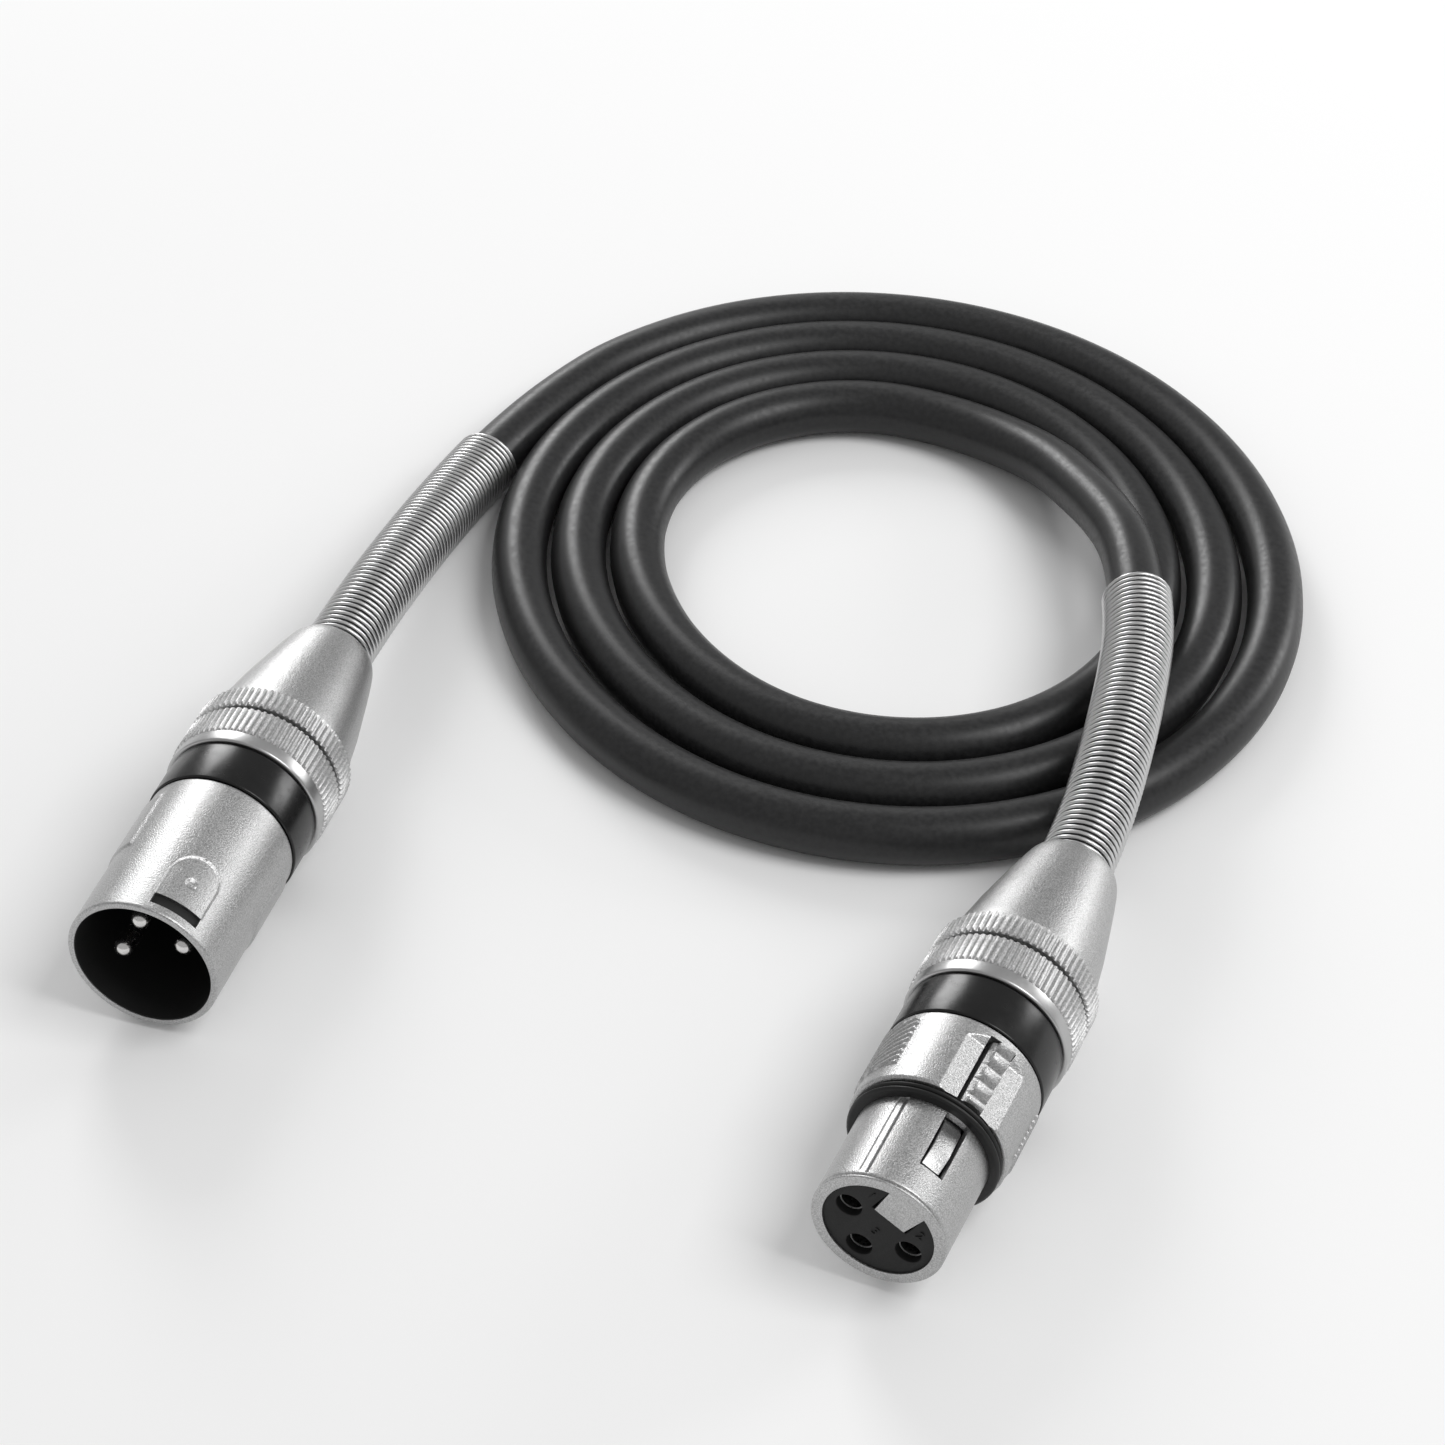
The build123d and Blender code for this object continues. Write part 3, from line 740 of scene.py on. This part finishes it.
def female_shell():
    """Nose, body and rear sleeve in one, with the hook's window, the button's pocket and the key block."""
    outline = rounded([
        (BORE_R, 0.22, 0), (RIM_R, 0.22, 0), (RIM_R, 0, 0.06), (NOSE_R, 0, 0.2), (NOSE_R, 0.4, 0),
    ])[:-1]
    outline += [(7.97, 0.3), (7.82, 0.36), (7.8, 0.5), (7.95, 0.58)]
    outline += stations(NOSE_R, 0.66, 13.1, 0.3, *WINDOW)
    outline += [(NOSE_R, 13.5), (NOSE_R, 14.0), (NOSE_R, 14.4), (9.2, 14.4), (9.4, 14.44), (9.53, 14.6)]
    outline += stations(BODY_R, 14.8, 25.3, 0.14, BUTTON[1])
    outline += [
        (9.55, 25.42), (9.4, 25.5), (SLEEVE_R, 25.5), (SLEEVE_R, FEMALE_END), (SLEEVE_BORE_R, FEMALE_END),
        (SLEEVE_BORE_R, 24.8),
    ]
    outline += stations(BORE_R, 24.6, 14.4, 0.6, BUTTON[1])
    outline += [(BORE_R, 13.9), (BORE_R, 13.4)]
    outline += stations(BORE_R, 12.95, 0.9, 0.6, *WINDOW)
    work = bmesh.new()
    near = [a * 0.6 for a in range(-90, 91)]
    rest = [54.6 + (360 - 109.2) * i / 240 for i in range(241)]
    angles = sorted({round(a if a <= 180 else a - 360, 4) for a in [*near, *rest]})
    for edge in (-WINDOW_HALF, WINDOW_HALF):
        nearest = min(range(len(angles)), key=lambda i: abs(angles[i] - edge))
        angles[nearest] = edge
    lathe(work, outline, angles, female_shape)
    cut_window(work, WINDOW_HALF, *WINDOW, (7.05, 8.1))
    cut_window(work, BUTTON_HALF, *BUTTON, (7.05, 9.9))
    body = to_mesh("female_shell", work, female_plug)
    key = [(2.35, 2.05), (2.35, -2.05), (6.8, -2.5), (7.25, -1.5), (7.3, 0), (7.25, 1.5), (6.8, 2.5)]
    key_place = female_plug @ Matrix.Translation((0, 0, KEY_MIDDLE))
    block = flat_shape("key", [key], KEY_LENGTH, 0.04, key_place)
    finish_piece("female_shell_body", join_meshes("female_shell", [body, block]), "root", "satin_nickel",
                 satin_nickel, "female_shell")


def digit(number, x, y):
    """A small raised digit on the insert's face."""
    letters = bpy.data.curves.new("digit", "FONT")
    letters.body = str(number)
    letters.size = DIGIT_SIZE
    letters.extrude = DIGIT_HEIGHT
    letters.align_x = "CENTER"
    letters.align_y = "CENTER"
    holder = bpy.data.objects.new("digit", letters)
    bpy.context.scene.collection.objects.link(holder)
    mesh = bpy.data.meshes.new_from_object(holder)
    bpy.data.objects.remove(holder)
    facing_out = Matrix(((0, 1, 0, x), (1, 0, 0, y), (0, 0, -1, 0.23), (0, 0, 0, 1)))
    mesh.transform(female_plug @ facing_out)
    return mesh


def female_insert():
    """Black insert with three holes and a channel on the latch side."""
    half = asin(CHANNEL_HALF / INSERT_R)
    rim = []
    for i in range(73):
        a = half + (2 * pi - 2 * half) * i / 72
        rim.append((INSERT_R * cos(a), INSERT_R * sin(a)))
    rim += [(2.2, -CHANNEL_HALF), (2.2, CHANNEL_HALF)]
    holes = []
    for angle in FEMALE_CONTACTS:
        a = radians(angle)
        holes.append(circle(CONTACT_CIRCLE_R * cos(a), CONTACT_CIRCLE_R * sin(a), SOCKET_HOLE_R))
    middle = female_plug @ Matrix.Translation((0, 0, INSERT_FRONT + INSERT_LENGTH / 2))
    mesh = flat_shape("female_insert", [rim, *holes], INSERT_LENGTH, 0.1, middle)
    marks = [digit(number, x, y) for number, (x, y) in enumerate(DIGITS_AT, start=1)]
    finish_piece("female_insert_body", join_meshes("female_insert", [mesh, *marks]), "root", "black_plastic",
                 matt_black, "female_insert")


def female_socket(number, angle):
    """A tube with a rolled mouth."""
    work = bmesh.new()
    outline = [
        (SOCKET_BORE_R, 1.4), (1.3, 1.25), (1.46, 1.2), (SOCKET_R, 1.3), (SOCKET_R, SOCKET_END),
        (SOCKET_BORE_R, SOCKET_END),
    ]
    lathe(work, outline, even_angles(40))
    # The tube's metal is darkened to paint the shade inside its hole.
    finish_piece(f"female_socket_{number}_tube", to_mesh("socket", work, contact_place(female_plug, angle)),
                 "root", "contact_plating", socket_metal_painted_shade, f"female_socket_{number}")


def rubber_ring():
    """Two ridges round the root of the nose, and a black tab at the front of the button's pocket that paints
    the shade of the gap there.
    """
    work = bmesh.new()
    start = 12.95
    end = 14.38
    bore_r = NOSE_R + 0.03
    profile = [(bore_r, start)]
    for i in range(49):
        share = i / 48
        ridge = abs(sin(2 * pi * share))
        profile.append((8.8 + 0.42 * ridge**0.6, start + (end - start) * share))
    profile.append((bore_r, end))
    lathe(work, profile, ROUND)
    ring = to_mesh("rubber", work, female_plug)
    # A thin black sheet across the front of the button's pocket: painted shade for the dark gap before the
    # button.
    tab = [(7.3, -1.05), (7.3, 1.45), (8.55, 1.45), (8.55, -1.05)]
    gap_shade_tab = flat_shape("painted_gap_shade", [tab], 0.34, 0.05, female_plug @ Matrix.Translation((0, 0, 14.5)))
    finish_piece("female_rubber_ring_body", join_meshes("rubber", [ring, gap_shade_tab]), "root", "black_rubber",
                 black_rubber, "female_rubber_ring")


def button_top(s):
    """Height of the thumb button at a station: four ribs on a slope that rises to the rear."""
    share = (s - RIB_START) / RIB_PITCH % 1
    return 8.45 + LEVER_SLOPE * (s - LEVER_START) + RIB_HEIGHT * sin(pi * share) ** 0.55


def latch_lever():
    """Hook in the nose window, arm under the rubber ring and a ribbed thumb button, in one piece."""
    arm = [
        (4.8, 5.2), (7.05, 5.6), (7.8, 7.9), (7.75, 8.1), (7.35, 12.0), (6.65, 12.75), (6.6, 15.2),
        (7.0, 24.0), (6.6, 24.8), (4.8, 24.8),
    ]
    upright = Matrix(((1, 0, 0, 0), (0, 0, -1, 0), (0, 1, 0, 0), (0, 0, 0, 1)))
    bar = flat_shape("latch_arm", [arm], 2.4, 0.12, female_plug @ upright)
    work = bmesh.new()
    rings = []
    for i in range(LEVER_LAYERS):
        s = LEVER_START + LEVER_STEP * i
        ends = 1 - step_up(s, LEVER_START, LEVER_START + 0.2) + step_up(s, 24.0, 24.2)
        top = button_top(s) - 0.35 * ends
        low = 8.55 + 0.06 * (s - LEVER_START)
        section = [
            (6.6, -1.12), (low - 0.1, -1.12), (low, -1.06), (min(low + 0.3, top), -0.62), (top - 0.08, -0.5),
            (top, -0.42), (top, 1.42), (top - 0.04, 1.5), (top - 0.14, 1.54), (6.6, 1.54),
        ]
        rings.append([work.verts.new((x, y, s)) for x, y in section])
    for ring, following in zip(rings, rings[1:]):
        for j in range(len(ring)):
            k = (j + 1) % len(ring)
            work.faces.new((ring[j], ring[k], following[k], following[j]))
    work.faces.new(rings[0])
    work.faces.new(rings[-1])
    button = to_mesh("latch_button", work, female_plug)
    finish_piece("female_latch_lever_body", join_meshes("latch", [bar, button]), "latch", "latch_metal",
                 satin_nickel, "female_latch_lever")


female_shell()
female_insert()
for number, angle in enumerate(FEMALE_CONTACTS, start=1):
    female_socket(number, angle)
rubber_ring()
latch_lever()

# ======================================================================== CAD nodes that stay
KEPT = {
    "male_cable_clamp": clamp_plastic,
    "female_cable_clamp": clamp_plastic,
    "male_conductors": conductor_plastic,
    "female_conductors": conductor_plastic,
    "female_latch_pin": spring_steel,
}
for name, material in KEPT.items():
    nodes[name].data.materials.clear()
    nodes[name].data.materials.append(material)

# ======================================================================== floor, light and camera
FLOOR_HALF = 1.6
floor_mesh = bpy.data.meshes.new("floor")
floor_corners = [(x * FLOOR_HALF, y * FLOOR_HALF, 0) for x, y in ((-1, -1), (1, -1), (1, 1), (-1, 1))]
floor_mesh.from_pydata(floor_corners, [], [(0, 1, 2, 3)])
floor = bpy.data.objects.new("floor", floor_mesh)
floor_mesh.materials.append(principled("floor_white", (0.92, 0.92, 0.92), roughness=0.9, specular=0.1))
bpy.context.scene.collection.objects.link(floor)


def area_light(name, place, target, size, power):
    """A soft rectangular light that looks at a point."""
    light = bpy.data.lights.new(name, "AREA")
    light.shape = "RECTANGLE"
    light.size, light.size_y = size
    light.energy = power
    holder = bpy.data.objects.new(name, light)
    holder.location = place
    holder.rotation_euler = (Vector(target) - Vector(place)).to_track_quat("-Z", "Y").to_euler()
    bpy.context.scene.collection.objects.link(holder)


area_light("key", (-0.52, 0.73, 0.44), (0, 0, 0), (0.3, 0.42), 3.5)
area_light("right", (0.66, 0.73, 0.27), (0, 0, 0), (0.3, 0.3), 1.8)
area_light("top", (0.68, 0.0, 0.95), (0, 0, 0), (0.6, 0.6), 6.2)

world = bpy.data.worlds.new("studio")
world.use_nodes = True
background = world.node_tree.nodes["Background"]
background.inputs["Color"].default_value = (1, 1, 1, 1)
background.inputs["Strength"].default_value = 0.46
bpy.context.scene.world = world
bpy.context.scene.view_settings.view_transform = "Standard"

CAMERA_AT = Vector((118.71, -353.47, 334.87)) * MM
CAMERA_TARGET = Vector((-1.2, 24.0, 0.0)) * MM
camera_data = bpy.data.cameras.new("camera")
camera_data.lens = 99.65
camera_data.sensor_width = 36
camera = bpy.data.objects.new("camera", camera_data)
camera.location = CAMERA_AT
camera.rotation_euler = (CAMERA_TARGET - CAMERA_AT).to_track_quat("-Z", "Y").to_euler()
bpy.context.scene.collection.objects.link(camera)
bpy.context.scene.camera = camera
